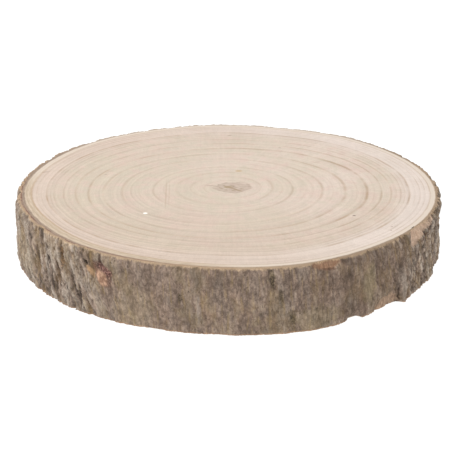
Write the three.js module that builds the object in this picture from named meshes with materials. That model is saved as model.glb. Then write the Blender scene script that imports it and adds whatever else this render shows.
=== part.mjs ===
// Wood slice: a thick round sawn straight across a young trunk, with its bark left on.
// Wood and bark grew as one piece, so the whole slice is one closed body.
// Millimetres, +Z up. It lies on its lower saw cut, centred on the origin; -Y is its front.
import * as THREE from "three";
import { mergeVertices } from "three/addons/utils/BufferGeometryUtils.js";

// Driving dimensions
const TRUNK_RADIUS = 149; // over the bark, before its lobes
const THICKNESS = 45; // between the two saw cuts
const TOP_BEVEL = { width: 1.4, drop: 1.6 }; // bark worn back at the upper rim
const BOTTOM_BEVEL = { width: 0.9, drop: 1.1 }; // bark worn back at the lower rim

// The trunk isn't quite round: lobes stand out from its circle, flats lie inside it.
// Azimuths are in degrees from the front (-Y), positive towards +X; spread is one sigma.
const LOBES = [
  { azimuth: 17, rise: 4.2, spread: 14 },
  { azimuth: -172, rise: 2.6, spread: 12 },
  { azimuth: -135, rise: 1.5, spread: 14 },
  { azimuth: 145, rise: 1.4, spread: 9 },
  { azimuth: 162, rise: -1.2, spread: 6 },
  { azimuth: -66, rise: -1, spread: 12 },
];

// Shallow bark ridges run up the trunk: so many round it, so high, leaning so many
// degrees of azimuth over the thickness.
const RIDGES = [
  { count: 23, height: 0.3, lean: 5 },
  { count: 37, height: 0.25, lean: -3 },
  { count: 58, height: 0.2, lean: 4 },
];

// Places where the bark is gone or stands out. z and half_height are along the wall.
const MARKS = [
  { name: "healed branch wound", azimuth: -33.5, half_width: 4.2, z: 31, half_height: 8, rise: -1.4 },
  { name: "chip under the rim", azimuth: 25, half_width: 3.6, z: 43, half_height: 4, rise: -1.3 },
  { name: "long chip at the rim", azimuth: 57, half_width: 5, z: 40, half_height: 7, rise: -1.5 },
  { name: "broken lower edge", azimuth: 32, half_width: 2.6, z: 0, half_height: 4.2, rise: -2.6 },
  { name: "bare lower edge", azimuth: 43, half_width: 6.5, z: 0, half_height: 7, rise: -2.2 },
  { name: "loose flake", azimuth: 51, half_width: 3, z: 4, half_height: 14, rise: 2.2 },
];

const COLUMNS = 240; // round the trunk
const BANDS = 8; // up the wall between the bevels

const cut_face_colour = 0xdccbbb;
const wood = new THREE.MeshStandardMaterial({
  name: "wood_and_bark",
  color: cut_face_colour,
  roughness: 0.85,
  metalness: 0,
});

// Shortest turn from one azimuth to another, in degrees.
function turnFrom(from, to) {
  return THREE.MathUtils.euclideanModulo(to - from + 180, 360) - 180;
}

function lobedRadius(azimuth) {
  return LOBES.reduce(
    (radius, lobe) =>
      radius + lobe.rise * Math.exp(-0.5 * (turnFrom(lobe.azimuth, azimuth) / lobe.spread) ** 2),
    TRUNK_RADIUS,
  );
}

function ridgeHeight(azimuth, z) {
  return RIDGES.reduce((height, ridge) => {
    const leaned = azimuth + ridge.lean * (z / THICKNESS);
    return height + ridge.height * Math.sin(ridge.count * THREE.MathUtils.degToRad(leaned));
  }, 0);
}

// A mark is full at its middle and fades to nothing at its half width and half height.
function markRise(azimuth, z) {
  return MARKS.reduce((rise, mark) => {
    const across = turnFrom(mark.azimuth, azimuth) / mark.half_width;
    const along = (z - mark.z) / mark.half_height;
    const inside = Math.max(0, 1 - across * across - along * along);
    return rise + mark.rise * Math.sqrt(inside);
  }, 0);
}

function barkRadius(azimuth, z) {
  return lobedRadius(azimuth) + ridgeHeight(azimuth, z) + markRise(azimuth, z);
}

// Heights of the rings of points, with how far each is worn back from the bark's surface.
function wallLevels() {
  const lowest = BOTTOM_BEVEL.drop;
  const highest = THICKNESS - TOP_BEVEL.drop;
  const levels = [{ z: 0, inset: BOTTOM_BEVEL.width }];
  for (let band = 0; band <= BANDS; band += 1) {
    levels.push({ z: THREE.MathUtils.lerp(lowest, highest, band / BANDS), inset: 0 });
  }
  levels.push({ z: THICKNESS, inset: TOP_BEVEL.width });
  return levels;
}

function wallPoint(azimuth, { z, inset }) {
  const radius = barkRadius(azimuth, z) - inset;
  const angle = THREE.MathUtils.degToRad(azimuth);
  return [radius * Math.sin(angle), -radius * Math.cos(angle), z];
}

function sliceGeometry() {
  const levels = wallLevels();
  const positions = [];
  const triangles = [];
  for (const level of levels) {
    for (let column = 0; column < COLUMNS; column += 1) {
      positions.push(...wallPoint((360 * column) / COLUMNS, level));
    }
  }
  const at = (level, column) => level * COLUMNS + (column % COLUMNS);
  for (let level = 0; level + 1 < levels.length; level += 1) {
    for (let column = 0; column < COLUMNS; column += 1) {
      const [a, b] = [at(level, column), at(level, column + 1)];
      const [c, d] = [at(level + 1, column + 1), at(level + 1, column)];
      triangles.push(a, b, c, a, c, d);
    }
  }
  // Each saw cut is a flat fan about the trunk's axis.
  const underside = positions.length / 3;
  const face = underside + 1;
  positions.push(0, 0, 0, 0, 0, THICKNESS);
  for (let column = 0; column < COLUMNS; column += 1) {
    triangles.push(underside, at(0, column + 1), at(0, column));
    triangles.push(face, at(levels.length - 1, column), at(levels.length - 1, column + 1));
  }
  const geometry = new THREE.BufferGeometry();
  geometry.setAttribute("position", new THREE.Float32BufferAttribute(positions, 3));
  geometry.setIndex(triangles);
  geometry.computeBoundingBox();
  const middle = geometry.boundingBox.getCenter(new THREE.Vector3());
  geometry.translate(-middle.x, -middle.y, 0);
  const solid = mergeVertices(geometry);
  solid.computeVertexNormals();
  return solid;
}

const slice = new THREE.Mesh(sliceGeometry(), wood);
slice.name = "wood_slice";

const group = new THREE.Group();
group.add(slice);

export default group;
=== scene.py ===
"""A thick slice sawn from a young trunk with its bark left on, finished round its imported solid."""
import math

import bpy
import numpy as np
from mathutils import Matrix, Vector
from mathutils.bvhtree import BVHTree


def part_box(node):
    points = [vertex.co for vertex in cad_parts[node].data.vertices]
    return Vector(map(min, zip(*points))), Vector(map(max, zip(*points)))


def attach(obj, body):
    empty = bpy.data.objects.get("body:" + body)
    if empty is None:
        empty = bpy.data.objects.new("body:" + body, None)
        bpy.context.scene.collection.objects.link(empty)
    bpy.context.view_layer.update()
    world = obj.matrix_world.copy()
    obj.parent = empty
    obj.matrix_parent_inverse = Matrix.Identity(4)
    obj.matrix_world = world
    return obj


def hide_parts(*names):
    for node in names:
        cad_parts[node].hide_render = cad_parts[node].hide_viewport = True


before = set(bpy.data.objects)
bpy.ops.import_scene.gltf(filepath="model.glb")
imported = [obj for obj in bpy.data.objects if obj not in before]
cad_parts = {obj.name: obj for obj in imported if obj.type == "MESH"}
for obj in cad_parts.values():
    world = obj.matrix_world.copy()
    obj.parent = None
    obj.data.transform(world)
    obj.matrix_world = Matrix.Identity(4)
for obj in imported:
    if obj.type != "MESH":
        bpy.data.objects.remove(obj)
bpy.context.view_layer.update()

# ---------------------------------------------------------------------------
# The blank. A bandsaw takes a round straight across the trunk, so both faces are flat and
# the wall between them is the trunk's own bark, as round as the tree grew. Its outline,
# lobes, chips and loose flake are read off the solid.
# ---------------------------------------------------------------------------
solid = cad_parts["wood_slice"]
low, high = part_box("wood_slice")

# Lengths are in millimetres, but the studio's are in metres. Azimuths are in degrees from
# the front (-Y), positive towards +X.
MM = 0.001
THICKNESS = (high.z - low.z) / MM
RADIUS = (high.x - low.x + high.y - low.y) / 4 / MM
BARK = 5.0  # thickness of the bark, to the cambium
ARC = math.radians(RADIUS)  # wall length of one degree

COLUMNS = 1200  # points round the wall
WALL_ROWS = 58
READ_COLUMNS = 480
READ_ROWS = 12
READ_TURNS = np.arange(READ_COLUMNS) * 360 / READ_COLUMNS
READ_HEIGHTS = np.linspace(1.5, THICKNESS - 2, READ_ROWS)  # clear of the worn rims
SMOOTHING = 2.2  # sigma along the wall, for the bark
CAMBIUM_SMOOTHING = 14  # and for the wood under it
EDGE = 0.3  # height and width of the small bevel at both rims

inside = BVHTree.FromPolygons(
    [v.co for v in solid.data.vertices], [p.vertices[:] for p in solid.data.polygons]
)


def outward(azimuth):
    angle = math.radians(azimuth)
    return Vector((math.sin(angle), -math.cos(angle), 0))


def smoothed(radii, sigma):
    """These radii, one for each read column, evened out along the wall."""
    waves = np.fft.rfftfreq(READ_COLUMNS, ARC * 360 / READ_COLUMNS)
    kept = np.exp(-2 * (math.pi * sigma * waves) ** 2)
    return np.fft.irfft(np.fft.rfft(radii) * kept, READ_COLUMNS)


def read_radii(height):
    """The solid's radius at this height, every read column."""
    middle = Vector((0, 0, height * MM))
    return np.array([inside.ray_cast(middle, outward(a))[3] / MM for a in READ_TURNS])


read = np.array([smoothed(read_radii(h), SMOOTHING) for h in READ_HEIGHTS])
cambium_radii = smoothed(read.mean(axis=0), CAMBIUM_SMOOTHING)


def wall_radius(azimuths, height):
    """The radius over the bark at these azimuths and this height."""
    place = np.interp(height, READ_HEIGHTS, np.arange(READ_ROWS))
    below = int(min(place, READ_ROWS - 2))
    row = read[below] + (read[below + 1] - read[below]) * (place - below)
    return np.interp(azimuths, READ_TURNS, row, period=360)


# Each row is a ring of points: its height, how far it lies in from the bark's outside,
# and how many columns it has. A face thins out from its rim to the pith.
FACE_INSETS = (
    (COLUMNS, (EDGE, 0.9, 1.6, 2.3, 3.1, 4.0, 5.0)),
    (COLUMNS // 2, (6.2, 8.0, 10.5, 13.5)),
    (COLUMNS // 4, (17, 21, 26, 31, 37)),
    (COLUMNS // 8, (44, 52, 61, 71, 82)),
    (COLUMNS // 16, (94, 106, 118, 128, 137, 144)),
)
face_rows = [(inset, columns) for columns, insets in FACE_INSETS for inset in insets]
rows = [(0.0, inset, columns) for inset, columns in reversed(face_rows)]
rows += [(z, 0.0, COLUMNS) for z in np.linspace(EDGE, THICKNESS - EDGE, WALL_ROWS)]
rows += [(THICKNESS, inset, columns) for inset, columns in face_rows]

# Across the bark's thickness its own outline gives way to the wood's smoother one, and
# stands says how far each point lies outside that one.
places, starts = [(0, 0, 0)], []
insets, stands = [RADIUS], [0.0]
for z, inset, columns in rows:
    turns = np.arange(columns) * 360 / columns
    smooth = np.interp(turns, READ_TURNS, cambium_radii, period=360)
    stand = (wall_radius(turns, z) - smooth) * min(max(1 - (inset - EDGE) / (BARK - EDGE), 0), 1)
    radii = smooth * (1 - inset / RADIUS) + stand
    angles = np.radians(turns)
    starts.append(len(places))
    places += list(zip(radii * np.sin(angles), -radii * np.cos(angles), [z] * columns))
    insets += [inset] * columns
    stands += list(stand)
places.append((0, 0, THICKNESS))
insets.append(RADIUS)
stands.append(0.0)

faces, face_rows_of = [], []


def join(row, below, above):
    """Faces between a row and the one above it, whose column counts may halve or double."""
    first, second = starts[row], starts[row + 1]
    for j in range(min(below, above)):
        if below == above:
            a, b = first + j, first + (j + 1) % below
            c, d = second + (j + 1) % above, second + j
            made = [(a, b, c, d)]
        elif below > above:
            a, b, c = first + 2 * j, first + 2 * j + 1, first + (2 * j + 2) % below
            d, e = second + j, second + (j + 1) % above
            made = [(a, b, d), (b, e, d), (b, c, e)]
        else:
            a, b = first + j, first + (j + 1) % below
            c, d, e = second + 2 * j, second + 2 * j + 1, second + (2 * j + 2) % above
            made = [(a, d, c), (a, b, d), (b, e, d)]
        faces.extend(made)
        face_rows_of.extend([row] * len(made))


# The innermost row of each face closes on a point in its middle.
innermost = face_rows[-1][1]
for j in range(innermost):
    faces.append((0, starts[0] + (j + 1) % innermost, starts[0] + j))
    face_rows_of.append(-1)
for row in range(len(rows) - 1):
    join(row, rows[row][2], rows[row + 1][2])
for j in range(innermost):
    faces.append((starts[-1] + j, starts[-1] + (j + 1) % innermost, len(places) - 1))
    face_rows_of.append(len(rows))

mesh = bpy.data.meshes.new("sawn_slice")
mesh.from_pydata([[c * MM for c in p] for p in places], [], faces)
mesh.update()
piece = bpy.data.objects.new("sawn_slice", mesh)
bpy.context.scene.collection.objects.link(piece)


def keep(name, values, domain="POINT"):
    """Stores numbers on the mesh for the relief and the finishes to read."""
    attribute = mesh.attributes.new(name, "FLOAT", domain)
    attribute.data.foreach_set("value", np.asarray(values, np.float32))


keep("inset", insets)
keep("stand", stands)
first_wall, last_wall = len(face_rows), len(face_rows) + WALL_ROWS - 1
on_wall = np.array([first_wall - 1 <= row <= last_wall for row in face_rows_of])
keep("wall", on_wall, "FACE")

# The rings are centred on the pith near the middle and follow the bark near the rim. Between
# the two they drift to the left and the front, and are drawn out sideways: size of ring,
# drift to the right, drift to the front, and how far it is drawn out.
PITH = (1.6, 2.2)
DRIFTS = (
    (0, 0.0, 0.0, 0.0),
    (34, -4.8, 0.0, 0.6),
    (48, -5.3, 2.7, 0.9),
    (68, -6.6, 4.2, 1.4),
    (83, -4.2, 6.2, 2.2),
    (96, -1.0, 4.4, 2.7),
    (105, 0.0, 2.3, 3.0),
    (114, -1.5, 1.5, 2.2),
    (127, -0.6, 0.0, 0.6),
    (140, 0.0, 0.0, 0.0),
)
DRAWN_TOWARDS = math.radians(-80)
FOLLOWS_BARK = (0.35, 0.95)  # from none of it to all of it, at these shares of the radius
place = np.array(places)
angle_of = np.arctan2(place[:, 0], -place[:, 1])
from_pith = np.hypot(place[:, 0] - PITH[0], place[:, 1] - PITH[1])
from_rim = RADIUS - np.array(insets)
share = (from_rim / RADIUS - FOLLOWS_BARK[0]) / (FOLLOWS_BARK[1] - FOLLOWS_BARK[0])
share = np.clip(share, 0, 1)
share = share * share * (3 - 2 * share)
undrifted = from_pith + (from_rim - from_pith) * share
ring = undrifted
ring_sizes, rightward, frontward, drawn_out = zip(*DRIFTS)
for _ in range(3):  # a point's drift depends on its ring, so it settles in a few rounds
    drift = np.interp(ring, ring_sizes, rightward) * np.sin(angle_of)
    drift += np.interp(ring, ring_sizes, frontward) * np.cos(angle_of)
    drift += np.interp(ring, ring_sizes, drawn_out) * np.cos(2 * (angle_of - DRAWN_TOWARDS))
    ring = undrifted - drift
keep("ring_shift", ring - from_pith)

# How deeply the bark has furrowed, how far it leans and how scaly it is, each as a share at
# some azimuths.
FURROWED = (
    (-180, 0.7),
    (-150, 0.95),
    (-110, 0.85),
    (-75, 1.0),
    (-42, 0.9),
    (-30, 0.25),
    (-20, 0.12),
    (6, 0.15),
    (28, 0.3),
    (46, 0.4),
    (54, 0.85),
    (80, 1.0),
    (105, 0.8),
    (140, 0.35),
    (165, 0.45),
)
azimuth_of = np.degrees(angle_of)
keep("furrowed", np.interp(azimuth_of, *zip(*FURROWED), period=360))
LEANING = (
    (-170, 0.5),
    (-120, 0.8),
    (-45, 1.0),
    (-28, 0.4),
    (-12, 0.1),
    (25, 0.1),
    (45, 0.3),
    (62, 0.5),
    (90, 0.4),
    (140, 0.2),
)
keep("leaning", np.interp(azimuth_of, *zip(*LEANING), period=360))
SCALY = (
    (-170, 0.6),
    (-120, 0.5),
    (-60, 0.15),
    (-10, 0.3),
    (45, 0.4),
    (60, 1.0),
    (100, 0.9),
    (140, 0.4),
)
keep("scaly", np.interp(azimuth_of, *zip(*SCALY), period=360))

# The surface unrolled: the two faces are discs, given as middle and radius, and the wall is
# three strips, given as bottom and top.
TOP_DISC = (0.34, 0.34, 0.33)
UNDERSIDE_DISC = (0.835, 0.165, 0.155)
STRIPS = ((0.69, 0.79), (0.795, 0.895), (0.90, 1.0))
STRIP_END = 0.005  # left clear at each end of a strip
DISC_MARGIN = 1.03
corners = np.concatenate([np.array(f) for f in faces])
sides = np.array([len(f) for f in faces])
face_of = np.repeat(np.arange(len(faces)), sides)
firsts = np.repeat(np.cumsum(sides) - sides, sides)
round_wall = (azimuth_of % 360) / (360 / len(STRIPS))
strip = np.minimum(round_wall[corners[firsts]].astype(int), len(STRIPS) - 1)
along = round_wall[corners] - strip
along = np.where(along > 2, along - len(STRIPS), along)
along = np.where(along < -1, along + len(STRIPS), along)
bottom = np.array(STRIPS)[strip, 0]
up = place[corners, 2] / THICKNESS * (STRIPS[0][1] - STRIPS[0][0])
on_top = place[corners, 2] > THICKNESS / 2
disc = np.where(on_top[:, None], np.array([TOP_DISC]), np.array([UNDERSIDE_DISC]))
disc_reach = RADIUS * DISC_MARGIN
strip_u = along * (1 - 2 * STRIP_END) + STRIP_END
disc_u = disc[:, 0] + place[corners, 0] / disc_reach * disc[:, 2]
disc_v = disc[:, 1] + place[corners, 1] / disc_reach * disc[:, 2]
u = np.where(on_wall[face_of], strip_u, disc_u)
v = np.where(on_wall[face_of], bottom + up, disc_v)
unrolled = mesh.uv_layers.new(name="OFBake")
unrolled.data.foreach_set("uv", np.column_stack([u, v]).astype(np.float32).ravel())


# ---------------------------------------------------------------------------
# The bark's pattern. A young trunk's skin splits into long leaning furrows as it grows,
# then into small scales with a fibrous grain. The same pattern shapes the wall and
# colours it, so it is written once, on a true cylinder, for both node trees.
# ---------------------------------------------------------------------------
class Wire:
    """A value in a node tree. Arithmetic on it adds Math nodes, and node() adds any other."""

    def __init__(self, tree, socket=None):
        self.tree, self.socket = tree, socket

    def node(self, kind, settings=None, inputs=None, output=0):
        made = self.tree.nodes.new(kind)
        for name, value in (settings or {}).items():
            setattr(made, name, value)
        for name, value in (inputs or {}).items():
            if isinstance(value, Wire):
                self.tree.links.new(value.socket, made.inputs[name])
            else:
                made.inputs[name].default_value = value
        return Wire(self.tree, made.outputs[output] if len(made.outputs) else None)

    def beside(self, output):
        """Another output of the node that this value comes from."""
        return Wire(self.tree, self.socket.node.outputs[output])

    def maths(self, operation, *values):
        return self.node("ShaderNodeMath", {"operation": operation}, dict(enumerate(values)))

    def __add__(self, other):
        return self.maths("ADD", self, other)

    def __sub__(self, other):
        return self.maths("SUBTRACT", self, other)

    def __mul__(self, other):
        return self.maths("MULTIPLY", self, other)

    def __truediv__(self, other):
        return self.maths("DIVIDE", self, other)

    def __pow__(self, other):
        return self.maths("POWER", self, other)

    def __radd__(self, other):
        return self.maths("ADD", other, self)

    def __rsub__(self, other):
        return self.maths("SUBTRACT", other, self)

    def __rmul__(self, other):
        return self.maths("MULTIPLY", other, self)

    def __rtruediv__(self, other):
        return self.maths("DIVIDE", other, self)

    def __neg__(self):
        return self.maths("MULTIPLY", self, -1)

    def __abs__(self):
        return self.maths("ABSOLUTE", self)


def fade(value, start, end, first=0.0, last=1.0):
    """first where value is start, last where it is end, and smooth between them."""
    inputs = {"Value": value, "From Min": start, "From Max": end, "To Min": first, "To Max": last}
    return value.node("ShaderNodeMapRange", {"interpolation_type": "SMOOTHSTEP"}, inputs)


def larger(a, b):
    return a.maths("MAXIMUM", a, b)


def vector(tree, x, y, z):
    """A vector of three values, in the tree of the first argument."""
    return tree.node("ShaderNodeCombineXYZ", {}, {"X": x, "Y": y, "Z": z})


def vectors(operation, a, b):
    return a.node("ShaderNodeVectorMath", {"operation": operation}, {0: a, 1: b})


def noise(at, size, seed, length=None, detail=2.0, roughness=0.5):
    """Smooth noise about 0.5 with lumps this size across and this long up the trunk. Each
    seed has a pattern of its own."""
    settings = {"noise_dimensions": "4D"}
    shrunk = vectors("MULTIPLY", at, (1 / size, 1 / size, 1 / (length or size)))
    inputs = {"Vector": shrunk, "W": seed, "Scale": 1.0, "Detail": detail, "Roughness": roughness}
    return at.node("ShaderNodeTexNoise", settings, inputs)


def millimetres(point):
    split = point.node("ShaderNodeSeparateXYZ", {}, {0: point})
    return [split.beside(axis) * (1 / MM) for axis in ("X", "Y", "Z")]


def azimuth_at(x, y):
    return x.maths("ARCTAN2", x, -y) * (180 / math.pi)


def on_trunk(x, y, z, lean):
    """The point at this azimuth and height on a true cylinder, turned back by the lean, so
    that a leaning furrow runs straight up it."""
    wander = noise(vector(x, x, y, z), 38, 15.0, detail=1.0) - 0.5
    turned = azimuth_at(x, y) - lean * (1 - z / THICKNESS - wander * 1.2)
    turned = turned * (math.pi / 180)
    sine, cosine = turned.maths("SINE", turned), turned.maths("COSINE", turned)
    return vector(z, sine * RADIUS, cosine * -RADIUS, z)


# The pattern's sizes in millimetres, its lean in degrees, and its seed. The relief takes
# them as its inputs.
SIZES = {
    "Furrow depth": 1.9,
    "Furrow spacing": 7.0,
    "Furrow lean": 8.0,
    "Scale depth": 0.45,
    "Scale width": 3.6,
    "Scale length": 9.0,
    "Grain depth": 0.42,
    "Seed": 4.0,
}


def bark_pattern(trunk, size):
    """Furrows, swells between them, cracks between scales, and grain, each by name."""
    seed = size["Seed"]
    spacing = size["Furrow spacing"]
    long_way = vectors("DIVIDE", trunk, vector(trunk, spacing, spacing, spacing * 3.4))
    split = noise(long_way, 1.0, seed, detail=3.0, roughness=0.5)
    furrow = fade(split, 0.46, 0.39)
    seam = noise(long_way, 1.7, seed + 3.0, detail=3.0, roughness=0.6)
    furrow = larger(furrow, fade(abs(seam - 0.5), 0.03, 0.0) * 0.7)
    width = size["Scale width"]
    scale_way = vectors("DIVIDE", trunk, vector(trunk, width, width, size["Scale length"]))
    jitter = noise(trunk, 4, seed + 8.0).beside("Color")
    scale_way = vectors("ADD", scale_way, jitter)
    edge = {"Vector": scale_way, "Scale": 1.0}
    gap = trunk.node("ShaderNodeTexVoronoi", {"feature": "DISTANCE_TO_EDGE"}, edge)
    return {
        "furrow": furrow,
        "swell": split - 0.5,
        "crack": fade(gap, 0.17, 0.0),
        "lift": noise(scale_way, 1.1, seed + 9.0) - 0.5,
        "grain": noise(trunk, 1.4, seed + 13.0, length=2.2, detail=3.0, roughness=0.65) - 0.5,
        "lumps": noise(trunk, 3.2, seed + 15.0, length=4.6, detail=3.0, roughness=0.6) - 0.5,
    }


# Places where the bark is gone, split or standing out: azimuth, height, half width across,
# half height along, and how far it leans, in degrees, with its top towards the left.
MARKS = {
    "wound": (-33.3, 31.2, 7.6, 12.0, 42),
    "wound heart": (-33.5, 27.9, 4.4, 7.0, 38),
    "wound fibres": (-32.7, 34.4, 4.0, 7.6, 52),
    "wound strip": (-37.0, 31.0, 2.1, 6.6, 46),
    "wound cavity": (-38.6, 35.8, 1.8, 3.0, 62),
    "wound hollow": (-35.6, 32.6, 2.2, 6.5, 44),
    "wound crack": (-33.8, 41.0, 1.7, 6.5, 4),
    "wound tail": (-30.4, 21.0, 2.0, 6.5, 10),
    "rim chip": (24.4, 43.8, 11.6, 4.6, 0),
    "rim chip's edge": (24.8, 40.0, 1.1, 8.5, 86),
    "long chip": (59.4, 43.4, 7.4, 16.5, -60),
    "long chip's end": (66.4, 44.6, 4.4, 13.0, -80),
    "long chip's edge": (63.8, 37.6, 1.3, 16.0, -73),
    "long chip's tail": (58.6, 28.5, 1.2, 9.0, 2),
    "bare edge": (44.2, 3.4, 7.0, 13.5, -78),
    "flake": (50.4, 11.0, 3.8, 15.0, 3),
    "flake crack": (48.7, 8.0, 1.1, 8.0, 4),
    "first furrow": (-60.5, 40.0, 1.8, 7.0, 12),
    "second furrow": (-54.0, 32.0, 1.7, 9.0, 18),
    "third furrow": (-47.5, 33.0, 2.6, 11.0, 10),
    "fourth furrow": (-50.0, 11.0, 1.8, 12.0, 10),
    "fifth furrow": (-40.5, 9.0, 1.6, 10.0, 6),
    "upper fissure": (10.4, 37.5, 2.8, 9.0, 8),
    "middle fissure": (12.6, 24.0, 1.9, 9.0, 6),
    "lower fissure": (15.4, 10.0, 2.2, 13.0, 12),
    "side crack": (-12.0, 22.0, 1.6, 7.0, 4),
    "silvery streak": (-7.4, 17.0, 2.4, 15.0, 0),
    "dark band": (31.2, 30.0, 3.4, 17.0, 0),
    "lower dark band": (31.8, 7.0, 2.6, 8.0, 0),
    "back chip": (152.0, 41.0, 8.0, 5.0, -10),
    "back knot": (-118.0, 20.0, 5.0, 7.0, 15),
}


def in_oval(across, up, half_width, half_height, lean):
    """0 in the middle of a leaning oval and 1 at its edge."""
    cosine, sine = math.cos(math.radians(lean)), math.sin(math.radians(lean))
    side = (across * cosine + up * sine) * (1 / half_width)
    tip = (up * cosine - across * sine) * (1 / half_height)
    return (side * side + tip * tip) ** 0.5


def in_mark(name, azimuth, z, ragged):
    """0 at a mark's middle and 1 at its edge, which the ragged value breaks up."""
    turn, height, half_width, half_height, lean = MARKS[name]
    return in_oval((azimuth - turn) * ARC, z - height, half_width, half_height, lean) + ragged


def ragged_edges(trunk):
    return noise(trunk, 2.4, 31.0, length=4, detail=2.0) * 0.7 - 0.35


# ---------------------------------------------------------------------------
# The bark's relief, cut into the blank. Besides its pattern it has lost chips at both saw
# cuts, one flake stands loose, and a branch wound has healed over on its left.
# ---------------------------------------------------------------------------
relief = bpy.data.node_groups.new("bark_relief", "GeometryNodeTree")
relief.is_modifier = True
relief.interface.new_socket("Geometry", in_out="INPUT", socket_type="NodeSocketGeometry")
for name in SIZES:
    relief.interface.new_socket(name, in_out="INPUT", socket_type="NodeSocketFloat")
for name in ("Sawn wood", "Bark"):
    relief.interface.new_socket(name, in_out="INPUT", socket_type="NodeSocketMaterial")
relief.interface.new_socket("Geometry", in_out="OUTPUT", socket_type="NodeSocketGeometry")

given = Wire(relief).node("NodeGroupInput")
size = {name: given.beside(name) for name in SIZES}


def stored(name):
    return given.node("GeometryNodeInputNamedAttribute", {"data_type": "FLOAT"}, {"Name": name})


inset, furrowed = stored("inset"), stored("furrowed")
point = given.node("GeometryNodeInputPosition")
x, y, z = millimetres(point)
azimuth = azimuth_at(x, y)
trunk = on_trunk(x, y, z, size["Furrow lean"] * stored("leaning"))
pattern = bark_pattern(trunk, size)
ragged = ragged_edges(trunk)

scaly = stored("scaly")
rise = -size["Furrow depth"] * pattern["furrow"] * furrowed * (1 - scaly * 0.55)
rise = rise + pattern["swell"] * (0.8 + furrowed * 2.6)
rise = rise - size["Scale depth"] * pattern["crack"] * (0.4 + furrowed + scaly)
rise = rise + pattern["lift"] * size["Scale depth"] * (0.6 + furrowed * 1.5)
rise = rise + pattern["grain"] * size["Grain depth"] * 1.6
rise = rise + pattern["lumps"] * (0.3 + furrowed * (2.1 - scaly * 0.9))

# How far each mark stands out or sinks in, and how gradually its edge does.
DEPTHS = (
    ("wound", -0.8, 0.35),
    ("wound heart", 0.9, 0.6),
    ("wound fibres", -0.4, 0.5),
    ("wound cavity", -2.2, 0.6),
    ("wound hollow", -0.8, 0.6),
    ("first furrow", -1.4, 0.6),
    ("second furrow", -1.4, 0.6),
    ("third furrow", -1.4, 0.5),
    ("fourth furrow", -1.4, 0.6),
    ("fifth furrow", -1.4, 0.6),
    ("wound crack", -1.2, 0.7),
    ("wound tail", -0.8, 0.7),
    ("rim chip", -1.0, 0.15),
    ("long chip", -1.0, 0.2),
    ("long chip's end", -0.4, 0.3),
    ("long chip's tail", -1.0, 0.7),
    ("bare edge", -0.5, 0.3),
    ("flake", 0.5, 0.3),
    ("flake crack", -2.0, 0.6),
    ("upper fissure", -1.5, 0.8),
    ("middle fissure", -0.9, 0.8),
    ("lower fissure", -0.9, 0.8),
    ("side crack", -0.7, 0.8),
    ("dark band", -0.3, 0.8),
    ("back chip", -1.3, 0.25),
    ("back knot", -1.4, 0.8),
)
for name, depth, edge in DEPTHS:
    rise = rise + fade(in_mark(name, azimuth, z, ragged), 1.0, 1.0 - edge) * depth

# The wall draws in a little at the far right, below the rim.
DRAWN_IN = 1.5
rise = rise - fade(abs(azimuth - 90), 34, 14) * fade(z, 43, 35) * DRAWN_IN

# The bark is worn back at both rims, most at the upper right, but never down to the wood.
WEAR = {"edge": 0.5, "top": 1.3, "top right": 0.4, "bottom": 0.4}
DEEPEST = 4.0
to_right = fade(abs(azimuth - 76), 50, 30)
chatter = noise(trunk, 3.0, 41.0, detail=3.0, roughness=0.6)
rise = rise - fade(z, THICKNESS - 1.5, THICKNESS) * (0.4 + chatter) * WEAR["edge"]
rise = rise - fade(z, THICKNESS - 5.5, THICKNESS) * (WEAR["top"] + to_right * WEAR["top right"])
rise = rise - fade(z, 1.6, 0.0) * (0.4 + chatter) * WEAR["bottom"]
rise = larger(rise, -DEEPEST - stored("stand"))
straight = {"Value": inset, "From Min": BARK, "From Max": EDGE}
rise = rise * inset.node("ShaderNodeMapRange", {}, straight)

# Bites out of the lower edge: azimuth, half width in degrees and height.
BITES = (
    (32.8, 2.6, 2.4),
    (47.0, 3.4, 1.0),
    (-50.6, 1.6, 0.7),
    (-18.0, 3.0, 0.5),
    (74.0, 3.0, 1.2),
    (118.0, 4.0, 1.6),
    (-96.0, 3.0, 1.0),
    (-139.0, 5.0, 1.8),
    (163.0, 2.5, 1.2),
)
nibble = noise(vector(trunk, x, y, 0.0), 5.0, 43.0, detail=3.0, roughness=0.6)
lift = fade(nibble, 0.52, 0.8, 0.0, 0.7)
wobble = (nibble - 0.5) * 2.5
for turn, half_width, height in BITES:
    lift = larger(lift, fade(abs(azimuth - turn + wobble), half_width, half_width * 0.45) * height)
lift = lift * fade(z, 9.0, 0.0) * fade(inset, 7.0, 0.6)
sink = fade(chatter, 0.35, 0.7) * fade(inset, 2.4, 0.0) * fade(z, THICKNESS - 3, THICKNESS)
fall = lift - sink * 0.45

radial = vectors("MULTIPLY", point, (1, 1, 0))
scaled = {0: radial, "Scale": rise / RADIUS}
radial = radial.node("ShaderNodeVectorMath", {"operation": "SCALE"}, scaled)
offset = vectors("ADD", radial, vector(point, 0.0, 0.0, fall * MM))
shaped = given.node(
    "GeometryNodeSetPosition", {}, {"Geometry": given.beside("Geometry"), "Offset": offset}
)
real = shaped.node("GeometryNodeRealizeInstances", {}, {"Geometry": shaped})
faced = {"Geometry": real, "Material": given.beside("Sawn wood")}
faced = real.node("GeometryNodeSetMaterial", {}, faced)
walled = {"Geometry": faced, "Selection": stored("wall"), "Material": given.beside("Bark")}
walled = faced.node("GeometryNodeSetMaterial", {}, walled)
walled.node("NodeGroupOutput", {}, {"Geometry": walled})


# ---------------------------------------------------------------------------
# The bark's finish. Grey-brown skin with silvery worn ridges and dark furrows, partly their own
# colour and partly painted highlight and shade, an olive bloom in places, pale or orange inner bark
# where chips have come away, and painted light along the lower edge.
# ---------------------------------------------------------------------------
def colour(red, green, blue):
    """A colour given in the usual 0 to 255 steps."""
    steps = [c / 255 for c in (red, green, blue)]
    return [c / 12.92 if c <= 0.04045 else ((c + 0.055) / 1.055) ** 2.4 for c in steps] + [1.0]


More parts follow.
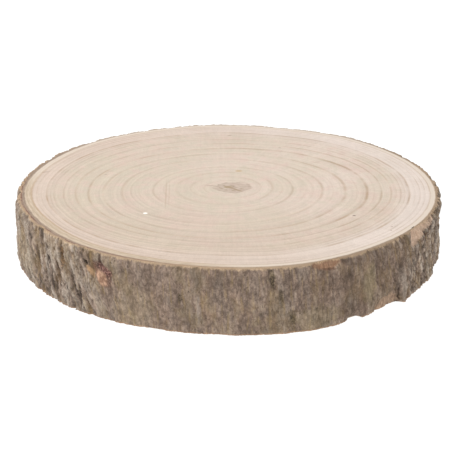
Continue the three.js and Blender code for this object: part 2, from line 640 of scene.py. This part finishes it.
def mix(share, first, second, blend="MIX"):
    settings = {"data_type": "RGBA", "blend_type": blend, "clamp_factor": True}
    some = next(v for v in (share, first, second) if isinstance(v, Wire))
    return some.node("ShaderNodeMix", settings, {0: share, 6: first, 7: second}, 2)


def finish_of(name, roughness):
    """A new material, its shader, and the place of each point on it."""
    material = bpy.data.materials.new(name)
    material.use_nodes = True
    tree = material.node_tree
    shader = tree.nodes["Principled BSDF"]
    shader.inputs["Roughness"].default_value = roughness
    shader.inputs["Specular IOR Level"].default_value = 0.25
    point = Wire(tree).node("ShaderNodeTexCoord", output="Object")
    return material, shader, point


def read_off(point, name):
    """A number that was stored on the mesh."""
    return point.node("ShaderNodeAttribute", {"attribute_name": name}, output="Fac")


def bump(height):
    """A normal from a height in millimetres."""
    return height.node("ShaderNodeBump", {}, {"Height": height, "Strength": 1.0, "Distance": MM})


bark, shader, point = finish_of("bark", 0.88)
tree = bark.node_tree
x, y, z = millimetres(point)
azimuth = azimuth_at(x, y)
trunk = on_trunk(x, y, z, read_off(point, "leaning") * SIZES["Furrow lean"])
pattern = bark_pattern(trunk, SIZES)
furrowed = read_off(point, "furrowed")
ragged = ragged_edges(trunk)

granular = noise(trunk, 1.2, 50.0, length=1.5, detail=3.0, roughness=0.65)
mottle = noise(trunk, 2.8, 51.0, length=3.4, detail=4.0, roughness=0.66)
fibre = noise(trunk, 0.9, 52.0, length=6, detail=3.0, roughness=0.6)
patch = noise(trunk, 12, 53.0, length=22, detail=3.0)
stain = noise(trunk, 8, 54.0, length=16, detail=3.0)
stripe = noise(trunk, 5, 57.0, length=45, detail=3.0)
blotch = noise(trunk, 9, 58.0, length=12, detail=4.0, roughness=0.62)
gilt = noise(trunk, 1.7, 60.0, length=15, detail=2.0)

skin = mix(fade(mottle, 0.36, 0.64), colour(113, 95, 83), colour(137, 118, 104))
skin = mix(fade(patch, 0.5, 0.62) * 0.45, skin, colour(132, 117, 92))
skin = mix(fade(stain, 0.56, 0.68) * 0.25, skin, colour(126, 100, 78))
skin = mix(fade(stain, 0.44, 0.34) * 0.4, skin, colour(92, 82, 76))
skin = mix(furrowed * 0.22, skin, colour(182, 166, 150))

# Colours that follow the relief: lighter ridges, lifted scales and high lumps, and darker furrows,
# cracks and low lumps. They are partly the bark's own colour and partly painted highlight and painted
# shade.
ridge_colour_and_highlight = fade(pattern["swell"] + pattern["lift"] * 0.3, -0.03, 0.08) * furrowed
skin = mix(ridge_colour_and_highlight * fade(mottle, 0.25, 0.5) * 0.75, skin, colour(168, 156, 143))
furrow_colour_and_shade = mix(fade(patch, 0.42, 0.6), colour(68, 58, 51), colour(104, 84, 62))
scaly = read_off(point, "scaly")
skin = mix(pattern["furrow"] * fade(furrowed, 0.0, 0.7) * (0.92 - scaly * 0.4), skin, furrow_colour_and_shade)
skin = mix(pattern["crack"] * (0.15 + furrowed * 0.2 + scaly * 0.45), skin, furrow_colour_and_shade)
skin = mix(fade(pattern["lift"], 0.05, 0.2) * scaly * 0.2, skin, colour(160, 150, 136))
skin = mix(fade(pattern["lumps"], -0.06, -0.18) * (0.25 + furrowed * 0.4), skin, colour(74, 65, 58))
skin = mix(fade(pattern["lumps"], 0.08, 0.2) * 0.25, skin, colour(160, 147, 134))

# Thin yellow streaks, small pores and pale specks.
skin = mix(fade(gilt, 0.55, 0.66) * 0.35, skin, colour(146, 124, 86))
speck = noise(trunk, 1.5, 55.0, length=2.0, detail=1.0)
skin = mix(fade(speck, 0.72, 0.78) * 0.4, skin, colour(176, 164, 146))
skin = mix(fade(speck, 0.34, 0.26) * 0.7, skin, colour(66, 56, 50))

# An olive bloom in places and a browner skin at the right of the front: azimuth, height,
# reach in degrees and millimetres, strength and colour.
OLIVE, BROWN = (150, 136, 102), (100, 80, 66)
BLOOMS = (
    (38, 24, 20, 44, 0.28, BROWN),
    (-24, 12, 6, 17, 0.18, OLIVE),
    (37.5, 22, 2.4, 15, 0.4, OLIVE),
    (22, 8, 7, 9, 0.25, OLIVE),
    (-70, 18, 9, 14, 0.2, OLIVE),
)
for turn, height, wide, tall, strength, paint in BLOOMS:
    reach = ((azimuth - turn) * (1 / wide)) ** 2 + ((z - height) * (1 / tall)) ** 2
    skin = mix(fade(reach + ragged * 3, 1.4, 0.1) * strength, skin, colour(*paint))

# The marks, in the order that they lie over one another.
grainy = noise(trunk, 1.0, 56.0, length=5, detail=3.0)
inner_bark = mix(fade(grainy, 0.35, 0.65), colour(138, 113, 94), colour(172, 145, 122))


def marked(base, name, paint, share=1.0, edge=0.25, tear=0.8):
    """base with a mark painted on it, its edge this soft and this torn."""
    mask = fade(in_mark(name, azimuth, z, ragged * tear), 1.0, 1.0 - edge)
    return mix(mask * share, base, paint)


blotchy = mix(fade(granular, 0.42, 0.64), colour(58, 49, 41), colour(110, 96, 74))
# The marked furrows take the same dark colour, partly their own and partly painted shade.
for name in ("first furrow", "second furrow", "fourth furrow", "fifth furrow"):
    skin = marked(skin, name, furrow_colour_and_shade, 0.9, 0.5, 1.3)
rusty = mix(fade(granular, 0.4, 0.6), colour(72, 60, 50), colour(122, 96, 70))
skin = marked(skin, "third furrow", rusty, 0.9, 0.5, 1.3)
for name in ("dark band", "lower dark band"):
    skin = marked(skin, name, colour(82, 68, 57), 0.75, 0.9, 1.8)
skin = marked(skin, "upper fissure", blotchy, 0.95, 0.8, 2.4)
for name in ("middle fissure", "lower fissure", "side crack"):
    skin = marked(skin, name, blotchy, 0.65, 0.8, 2.2)
skin = marked(skin, "silvery streak", colour(156, 144, 133), 0.5, 0.9, 2.4)
skin = marked(skin, "bare edge", inner_bark, 0.85, 0.35, 1.3)
skin = marked(skin, "flake", colour(158, 145, 133), 0.6, 0.5)
skin = marked(skin, "flake crack", colour(72, 58, 50), 0.9, 0.6)
skin = marked(skin, "rim chip", mix(0.75, inner_bark, colour(127, 95, 73)), 1.0, 0.3)
skin = marked(skin, "rim chip's edge", colour(92, 68, 54), 0.8, 0.8)
pale = mix(fade(grainy, 0.35, 0.65), colour(178, 150, 129), colour(197, 171, 149))
skin = marked(skin, "long chip", pale, 0.95, 0.2, 0.35)
skin = marked(skin, "long chip's end", pale, 0.85, 0.3, 0.5)
skin = marked(skin, "long chip's edge", colour(96, 70, 56), 0.85, 0.7)
skin = marked(skin, "long chip's tail", colour(84, 64, 54), 0.75, 0.7)
skin = marked(skin, "back chip", inner_bark, 0.9, 0.25)
skin = marked(skin, "back knot", colour(88, 74, 64), 0.7, 0.8)
scar = mix(fade(granular, 0.42, 0.66), colour(82, 62, 54), colour(138, 110, 94))
skin = marked(skin, "wound", scar, 0.95, 0.35, 1.2)
torn = mix(fade(granular, 0.42, 0.62), colour(88, 60, 54), colour(146, 110, 100))
skin = marked(skin, "wound fibres", torn, 0.85, 0.5, 1.2)
skin = marked(skin, "wound hollow", colour(112, 84, 70), 0.8, 0.7)
skin = marked(skin, "wound strip", colour(172, 138, 104), 0.8, 0.7, 1.2)
heart = mix(fade(mottle, 0.4, 0.6), colour(144, 111, 90), colour(182, 147, 123))
skin = marked(skin, "wound heart", heart, 0.95, 0.4)
skin = marked(skin, "wound crack", colour(78, 60, 50), 0.85, 0.7)
skin = marked(skin, "wound tail", colour(92, 76, 66), 0.65, 0.8, 1.6)
skin = marked(skin, "wound cavity", colour(42, 34, 30), 0.9, 0.6)

# Inner bark shows as a thin pale line under the upper rim, and painted light, bounced up from the
# floor, makes a thin pale line at the lower edge.
under_rim = fade(z + ragged * 3.2 + (mottle - 0.5) * 5, THICKNESS - 1.5, THICKNESS - 0.4)
skin = mix(under_rim * 0.6, skin, colour(172, 148, 120))
skin = mix(fade(z + ragged * 2, 1.6, 0.5) * 0.7, skin, colour(160, 128, 100))

# Fine light and dark over all of it, but less of that where the long chip is bare.
BRIGHTNESS = 1.165
scaly = scaly * fade(in_mark("long chip", azimuth, z, 0.0), 0.8, 1.1)
dust = noise(trunk, 0.8, 59.0, detail=1.0)
shade = 1.0 + (fade(fibre, 0.3, 0.7) - 0.5) * (0.1 + scaly * 0.4)
shade = shade * (1.0 + (granular - 0.5) * (0.7 + scaly * 0.5))
shade = shade * (1.0 + (dust - 0.5) * 0.5)
shade = shade * fade(stripe, 0.35, 0.65, 0.94, 1.06) * fade(blotch, 0.36, 0.64, 0.86, 1.14)
shade = shade * (BRIGHTNESS + (fade(mottle, 0.36, 0.6) - 0.5) * (0.06 + scaly * 0.3))
skin = mix(1.0, skin, shade, "MULTIPLY")
tree.links.new(skin.socket, shader.inputs["Base Color"])
rough = bump(fibre * 0.3 + granular * 0.5 + mottle * 0.5)
tree.links.new(rough.socket, shader.inputs["Normal"])


# ---------------------------------------------------------------------------
# The sawn wood. Pale timber with a grey-brown pith, darker lines where each year's growth
# ended, cream sapwood, and the bark's own layers seen edge on round the rim.
# ---------------------------------------------------------------------------
sawn_wood, shader, point = finish_of("sawn_wood", 0.82)
tree = sawn_wood.node_tree
x, y, z = millimetres(point)
azimuth = azimuth_at(x, y)
inset = read_off(point, "inset")
flat = vector(x, x, y, z * 3)
away_x, away_y = x - PITH[0], y - PITH[1]
from_pith = (away_x * away_x + away_y * away_y) ** 0.5
ripple = (noise(flat, 40, 61.0, detail=1.0) - 0.5) * 3 + (noise(flat, 12, 62.0) - 0.5) * 0.9
year = from_pith + read_off(point, "ring_shift") + ripple * fade(inset, 5, 30)

# Painted light: the sawn faces and the sapwood are painted lighter from the left to the right.
painted_light_to_right = fade(x, -120, 120)  # from the left to the right
wood = mix(painted_light_to_right, colour(200, 185, 169), colour(213, 197, 184))
wood = mix(fade(noise(flat, 42, 63.0), 0.4, 0.6) * 0.4, wood, colour(198, 186, 166))
wood = mix(fade(noise(flat, 25, 64.0), 0.5, 0.65) * 0.4, wood, colour(208, 184, 172))
dappled = noise(flat, 8, 75.0, detail=3.0)
wood = mix(fade(dappled, 0.52, 0.64) * 0.45, wood, colour(196, 186, 168))
wood = mix(fade(dappled, 0.48, 0.36) * 0.45, wood, colour(208, 184, 172))
# Painted shade: the wood is darker towards the front.
wood = mix(fade(y, 20, -120) * 0.4, wood, colour(190, 172, 154))
sapwood = mix(painted_light_to_right, colour(205, 187, 174), colour(219, 206, 197))
wood = mix(fade(year, 117, 131) * 0.75, wood, sapwood)
# Painted shade: darker again near the front edge.
wood = mix(fade(y, -100, -140) * 0.35, wood, colour(194, 174, 156))

# Where each year's growth ended: distance from the pith, half width and strength. Each line
# has a soft shade on its inner side.
RINGS = (
    (16.0, 1.2, 0.25),
    (24.0, 1.8, 0.32),
    (33.7, 2.0, 0.36),
    (41.0, 1.2, 0.16),
    (48.0, 1.6, 0.42),
    (57.0, 1.3, 0.24),
    (62.5, 1.1, 0.22),
    (68.5, 1.9, 0.44),
    (75.5, 1.0, 0.16),
    (82.8, 1.8, 0.60),
    (89.5, 1.0, 0.16),
    (95.5, 1.8, 0.82),
    (100.0, 1.0, 0.16),
    (105.2, 1.6, 0.55),
    (109.5, 1.0, 0.18),
    (113.5, 1.5, 0.50),
    (117.5, 1.0, 0.26),
    (121.2, 1.1, 0.42),
    (124.2, 1.0, 0.36),
    (127.4, 1.5, 0.75),
    (131.5, 0.9, 0.25),
    (135.0, 1.0, 0.42),
    (138.4, 0.9, 0.40),
    (142.0, 0.8, 0.40),
)
lines = None
for radius, half_width, strength in RINGS:
    line = fade(abs(year - radius), half_width, 0.0, 0.0, strength)
    shade = fade(year, radius - 6, radius, 0.0, strength * 0.22) * fade(year, radius + 0.7, radius)
    line = larger(line, shade)
    lines = line if lines is None else larger(lines, line)
faint = noise(vector(x, year * (1 / 1.9), x * (1 / 70), y * (1 / 70)), 1.0, 65.0, detail=3.0) - 0.5
uneven = fade(x, -60, 110, 0.85, 1.3) + fade(year, 112, 125) * fade(x, 60, -60) * 0.5
uneven = uneven * fade(noise(flat, 22, 66.0), 0.36, 0.62, 0.35, 1.2)
uneven = uneven * fade(abs(azimuth - 2), 12, 42, 0.75, 1.0)
wood = mix(lines * uneven * 0.6, wood, colour(164, 138, 112))
faint_share = fade(x, 0, -60, 0.22, 0.32) + fade(y, 0, -80, 0.0, 0.14)
wood = mix(1.0, wood, 1.0 + faint * faint_share, "MULTIPLY")

# Rays run out from the pith, and the bandsaw left faint straight tracks.
ray_way = vector(x, azimuth * (1 / 0.9), year * (1 / 26), 0.0)
rays = (noise(ray_way, 1.0, 67.0, detail=3.0, roughness=0.6) - 0.5) * fade(year, 15, 50)
tracks = noise(vector(x, x * (1 / 2.2), y * (1 / 90), 0.0), 1.0, 68.0, detail=3.0) - 0.5
pores = noise(flat, 0.9, 69.0, detail=2.0) - 0.5
cloudy = noise(flat, 4.5, 74.0, detail=3.0) - 0.5
wood = mix(1.0, wood, 1.0 + rays * 0.16 + tracks * 0.09 + pores * 0.34 + cloudy * 0.16, "MULTIPLY")

# The pith and the stained wood round it.
streaky = noise(vector(x, x * (1 / 3.4) + y * 0.1, y * (1 / 1.9), 0.0), 1.0, 71.0, detail=3.0)
pith_edge = (noise(flat, 8, 70.0, detail=3.0) - 0.5) * 0.9
pith_reach = (((x - 3.0) * (1 / 12.5)) ** 2 + ((y - 2.4) * (1 / 10.5)) ** 2) ** 0.5 + pith_edge
wood = mix(fade(pith_reach, 1.15, 0.75) * 0.6, wood, colour(180, 160, 147))
pith_line = fade(abs(pith_reach - 0.95), 0.16, 0.0) * fade(streaky, 0.4, 0.6)
wood = mix(pith_line * 0.5, wood, colour(146, 124, 108))
wood = mix(fade(pith_reach, 1.0, 0.5) * fade(streaky, 0.5, 0.62) * 0.6, wood, colour(142, 122, 94))
wood = mix(fade(pith_reach, 1.0, 0.5) * fade(streaky, 0.45, 0.36) * 0.5, wood, colour(206, 190, 172))

# Small blemishes: place, half length, half width, turn in degrees, colour and strength.
BLEMISHES = (
    (-56.3, -49.4, 2.0, 1.9, 0, (250, 246, 238), 1.0),
    (7.2, 38.0, 3.4, 2.4, 0, (186, 160, 124), 0.75),
    (-0.5, 3.6, 3.8, 3.0, 0, (158, 138, 108), 0.8),
    (4.8, -1.6, 9.0, 1.7, -45, (158, 136, 112), 0.7),
    (-11.5, 6.0, 6.0, 1.2, -14, (168, 146, 132), 0.6),
    (84.4, -54.0, 1.5, 1.0, 10, (96, 78, 70), 0.85),
    (-132.5, 35.4, 5.5, 0.7, 13, (128, 104, 86), 0.7),
    (0.5, 121.0, 3.2, 0.8, 35, (140, 112, 92), 0.6),
    (64.3, 57.9, 4.0, 0.5, 20, (140, 114, 96), 0.5),
    (-43.6, -12.0, 0.7, 36.0, 1, (176, 152, 130), 0.4),
    (-41.4, -10.0, 0.5, 30.0, 1, (176, 152, 130), 0.3),
    (108.0, -75.0, 1.1, 0.8, 20, (140, 108, 96), 0.6),
    (107.0, -82.0, 1.0, 0.8, 60, (140, 108, 96), 0.5),
    (-88.0, 30.0, 1.2, 0.8, 30, (140, 116, 96), 0.5),
    (38.0, 92.0, 1.4, 0.7, 10, (136, 108, 90), 0.5),
)
for across, up, half_long, half_wide, turn, paint, strength in BLEMISHES:
    reach = in_oval(x - across, y - up, half_long, half_wide, turn)
    wood = mix(fade(reach, 1.0, 0.5) * strength, wood, colour(*paint))

# Round the rim, from the sapwood out to the bark's skin. Each layer is a band of distances
# in from that skin, and at the back the layers are fainter.
to_left = fade(abs(azimuth + 50), 58, 38)
to_right = fade(abs(azimuth - 75), 70, 45)
to_back = fade(abs(azimuth), 115, 150)
clear = 1 - to_back * 0.6
jagged = inset + (noise(flat, 9, 72.0, detail=3.0) - 0.5) * 1.2 + (noise(flat, 2.2, 76.0) - 0.5) * 0.9
jagged = jagged * fade(abs(azimuth + 88), 60, 25, 1.0, 0.78)  # the bark is thickest at the left
reach = jagged - fade(abs(azimuth + 45), 45, 8, 0.0, 1.6)  # the newest wood is widest here
layered = fade(noise(vector(x, inset * (1 / 0.8), azimuth * (1 / 3), 0.0), 1.0, 73.0), 0.35, 0.65)
newest = mix(layered, colour(178, 160, 136), colour(202, 184, 160))
last_year = mix(to_left, colour(212, 198, 182), newest)
wood = mix(fade(reach, 8.8, 8.0) * 0.75, wood, last_year)
wood = mix(fade(abs(reach - 8.7), 0.9, 0.1) * (0.25 + to_left * 0.3), wood, colour(166, 138, 104))
wood = mix(fade(abs(reach - 6.2), 0.9, 0.1) * to_left * 0.3, wood, colour(160, 140, 116))
grey_layers = mix(layered, colour(136, 118, 104), colour(162, 142, 124))
grey_layers = mix(fade(abs(azimuth - 8), 42, 20) * 0.6, grey_layers, colour(180, 158, 132))
far_right = fade(abs(azimuth - 85), 32, 22)
cambium = mix(to_right, grey_layers, colour(152, 134, 114))
cambium = mix(far_right * 0.8, cambium, colour(184, 160, 136))
wood = mix(fade(jagged, 5.6, 4.6) * clear, wood, cambium)
dark_line = mix(to_left, colour(140, 114, 92), colour(122, 84, 66))
phloem = mix(to_right * 0.8, grey_layers, mix(layered, colour(140, 120, 100), colour(162, 142, 120)))
wood = mix(fade(jagged, 4.6, 3.8) * clear * 0.8, wood, phloem)
broken = fade(noise(flat, 11, 77.0, detail=3.0), 0.4, 0.6)
line_share = (0.25 + broken * 0.6) * clear * (0.35 + to_left * 0.65)
wood = mix(fade(abs(jagged - 2.7), 1.0, 0.2) * line_share, wood, dark_line)
corner = mix(to_right, colour(170, 143, 116), colour(152, 128, 106))
corner = mix(to_back, corner, colour(188, 168, 148))
corner = mix(far_right * 0.7, corner, colour(180, 152, 124))
wood = mix(fade(jagged, 2.1, 1.4) * (0.6 + broken * 0.4), wood, corner)
wood = mix(fade(jagged, 0.8, 0.3) * (0.3 - to_back * 0.25), wood, colour(126, 106, 88))

tree.links.new(wood.socket, shader.inputs["Base Color"])
worn = bump(pores * 0.10 + tracks * 0.06 - lines * 0.05 + faint * 0.04)
tree.links.new(worn.socket, shader.inputs["Normal"])

# The relief is cut and both finishes go on.
carved = piece.modifiers.new("bark_relief", "NODES")
carved.node_group = relief
chosen = SIZES | {"Sawn wood": sawn_wood, "Bark": bark}
for socket in relief.interface.items_tree:
    if socket.in_out == "INPUT" and socket.name in chosen:
        carved[socket.identifier] = chosen[socket.name]
bpy.context.view_layer.update()
seen = piece.evaluated_get(bpy.context.evaluated_depsgraph_get())
finished = bpy.data.meshes.new_from_object(seen)
piece.modifiers.remove(carved)
piece.data = finished
finished.name = "sawn_slice"
finished.shade_smooth()

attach(piece, "root")
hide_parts("wood_slice")

# ---------------------------------------------------------------------------
# The studio. The slice lies on a floor that glows white like a light table, so that no
# shadow shows, with a soft key light above its left side and a camera a little above it.
# ---------------------------------------------------------------------------
FLOOR = 6.0  # half its width, in metres
FLOOR_GREY = 0.1
FLOOR_GLOW = 1.0
SKY = 0.78
KEY_PLACE = Vector((-1.2, -0.3, 1.6))
KEY_SIDE = 1.4
KEY_POWER = 27

floor_corners = [(-FLOOR, -FLOOR, 0), (FLOOR, -FLOOR, 0), (FLOOR, FLOOR, 0), (-FLOOR, FLOOR, 0)]
floor_mesh = bpy.data.meshes.new("floor")
floor_mesh.from_pydata(floor_corners, [], [(0, 1, 2, 3)])
floor = bpy.data.objects.new("floor", floor_mesh)
bpy.context.scene.collection.objects.link(floor)
paper, shader, point = finish_of("pale_floor", 0.9)
shader.inputs["Base Color"].default_value = (FLOOR_GREY, FLOOR_GREY, FLOOR_GREY, 1)
shader.inputs["Emission Color"].default_value = (1, 1, 1, 1)
shader.inputs["Emission Strength"].default_value = FLOOR_GLOW
floor_mesh.materials.append(paper)

key = bpy.data.lights.new("key", "AREA")
key.shape = "SQUARE"
key.size = KEY_SIDE
key.energy = KEY_POWER
lamp = bpy.data.objects.new("key", key)
lamp.location = KEY_PLACE
lamp.rotation_euler = KEY_PLACE.to_track_quat("Z", "Y").to_euler()
bpy.context.scene.collection.objects.link(lamp)

world = bpy.data.worlds.new("studio")
bpy.context.scene.world = world
world.use_nodes = True
background = world.node_tree.nodes["Background"].inputs
background["Color"].default_value = (1, 1, 1, 1)
background["Strength"].default_value = SKY
bpy.context.scene.view_settings.view_transform = "Standard"

ELEVATION = 20.9  # of the camera above the floor, in degrees
DISTANCE = 8.5 * RADIUS * MM
LENS = 141.7
SENSOR = 36
AIM = Vector((0.0009, 0, 0.0140))
tilt = math.radians(ELEVATION)
away = Vector((0, -math.cos(tilt), math.sin(tilt)))
camera_data = bpy.data.cameras.new("camera")
camera_data.sensor_width = SENSOR
camera_data.lens = LENS
camera = bpy.data.objects.new("camera", camera_data)
camera.location = AIM + away * DISTANCE
camera.rotation_mode = "QUATERNION"
camera.rotation_quaternion = away.to_track_quat("Z", "Y")
bpy.context.scene.collection.objects.link(camera)
bpy.context.scene.camera = camera
